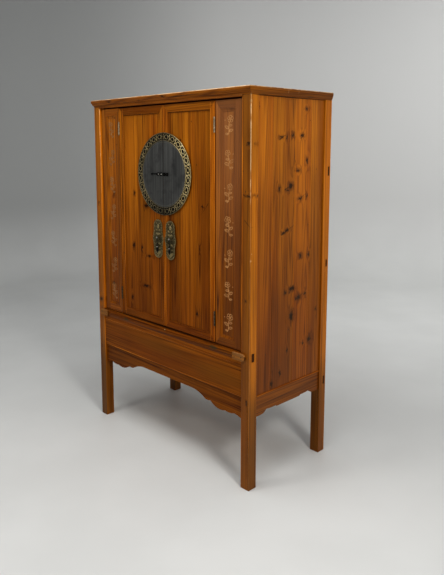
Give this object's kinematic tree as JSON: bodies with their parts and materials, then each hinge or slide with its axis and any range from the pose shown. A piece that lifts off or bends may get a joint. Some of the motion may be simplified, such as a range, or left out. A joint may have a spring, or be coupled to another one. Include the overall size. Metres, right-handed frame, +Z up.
{
  "type": "armoire",
  "caption": "Tall wooden cabinet on square legs, with bi-fold front leaves and doors, round brass plate, drop pulls, shelf and hidden compartment behind a deep scalloped apron.",
  "frame": {"origin": "on the floor, under the middle of the box that holds the whole cabinet", "axes": "+Z up, doors face -Y, +X to the right when facing the doors"},
  "size_m": [1.18, 0.5874, 1.8],
  "materials": {
    "lacquered_pine": "honey-orange lacquered pine, satin gloss, knots and worn edges",
    "inner_pine": "plain unlacquered or thinly oiled pine inside, on the back and on top",
    "worn_pine": "pine worn bare, slightly polished by handling",
    "dark_plate": "dark patinated sheet brass, satin, faint vertical streaks",
    "aged_brass": "aged olive brass, chased, darker in the recesses",
    "hinge_iron": "dull old brass butt hinges"
  },
  "bodies": {
    "carcass": {"post_front_left": "lacquered_pine", "post_front_right": "lacquered_pine", "post_rear_left": "lacquered_pine", "post_rear_right": "lacquered_pine", "top_rail_front": "lacquered_pine", "top_rail_right": "lacquered_pine", "top_rail_rear": "lacquered_pine", "top_rail_left": "lacquered_pine", "top_panel": "inner_pine", "sill": "lacquered_pine", "front_panel": "lacquered_pine", "front_apron": "lacquered_pine", "side_panel_left": "lacquered_pine", "side_panel_right": "lacquered_pine", "side_rail_left": "lacquered_pine", "side_rail_right": "lacquered_pine", "back_panel": "inner_pine", "back_rail_bottom": "inner_pine", "back_rail_middle": "inner_pine", "bottom_board": "inner_pine", "floor_board": "inner_pine", "shelf": "inner_pine", "pivot_block_left": "worn_pine", "pivot_block_right": "worn_pine"},
    "floor_lid": {"floor_lid": "inner_pine"},
    "leaf_left": {"leaf_left_pivot_stile": "lacquered_pine", "leaf_left_inner_stile": "lacquered_pine", "leaf_left_top_rail": "lacquered_pine", "leaf_left_bottom_rail": "lacquered_pine", "leaf_left_panel": "lacquered_pine", "hinge_left_bottom_leaf_half": "hinge_iron", "hinge_left_top_leaf_half": "hinge_iron"},
    "door_left": {"door_left_meeting_stile": "lacquered_pine", "door_left_hinge_stile": "lacquered_pine", "door_left_top_rail": "lacquered_pine", "door_left_bottom_rail": "lacquered_pine", "door_left_panel": "lacquered_pine", "hinge_left_bottom_door_half": "hinge_iron", "hinge_left_top_door_half": "hinge_iron", "round_plate_left": "dark_plate", "pull_plate_left": "aged_brass"},
    "pull_drop_left": {"pull_drop_left": "aged_brass"},
    "leaf_right": {"leaf_right_pivot_stile": "lacquered_pine", "leaf_right_inner_stile": "lacquered_pine", "leaf_right_top_rail": "lacquered_pine", "leaf_right_bottom_rail": "lacquered_pine", "leaf_right_panel": "lacquered_pine", "hinge_right_bottom_leaf_half": "hinge_iron", "hinge_right_top_leaf_half": "hinge_iron"},
    "door_right": {"door_right_meeting_stile": "lacquered_pine", "door_right_hinge_stile": "lacquered_pine", "door_right_top_rail": "lacquered_pine", "door_right_bottom_rail": "lacquered_pine", "door_right_panel": "lacquered_pine", "hinge_right_bottom_door_half": "hinge_iron", "hinge_right_top_door_half": "hinge_iron", "round_plate_right": "dark_plate", "pull_plate_right": "aged_brass"},
    "pull_drop_right": {"pull_drop_right": "aged_brass"},
    "lock_bolt": {"lock_bolt": "dark_plate"}
  },
  "joints": [
    {"name": "leaf_left_pivot", "type": "hinge", "parent": "carcass", "child": "leaf_left", "pos_m": [-0.517, -0.25725, 0.6445], "axis": [0, 0, -1], "range_deg": [0, 90]},
    {"name": "door_left_hinge", "type": "hinge", "parent": "leaf_left", "child": "door_left", "pos_m": [-0.36, -0.27465, 0.6445], "axis": [0, 0, -1], "range_deg": [0, 135]},
    {"name": "pull_left_swing", "type": "hinge", "parent": "door_left", "child": "pull_drop_left", "pos_m": [-0.047, -0.28005, 1.098], "axis": [-1, 0, 0], "range_deg": [0, 150]},
    {"name": "leaf_right_pivot", "type": "hinge", "parent": "carcass", "child": "leaf_right", "pos_m": [0.517, -0.25725, 0.6445], "axis": [0, 0, 1], "range_deg": [0, 90]},
    {"name": "door_right_hinge", "type": "hinge", "parent": "leaf_right", "child": "door_right", "pos_m": [0.36, -0.27465, 0.6445], "axis": [0, 0, 1], "range_deg": [0, 135]},
    {"name": "pull_right_swing", "type": "hinge", "parent": "door_right", "child": "pull_drop_right", "pos_m": [0.047, -0.28005, 1.098], "axis": [-1, 0, 0], "range_deg": [0, 150]},
    {"name": "lock_bolt_slide", "type": "slide", "parent": "door_left", "child": "lock_bolt", "axis": [1, 0, 0], "range_m": [0, 0.0395]},
    {"name": "floor_lid_lift", "type": "slide", "parent": "carcass", "child": "floor_lid", "axis": [0, 0, 1], "range_m": [0, 0.25]}
  ]
}
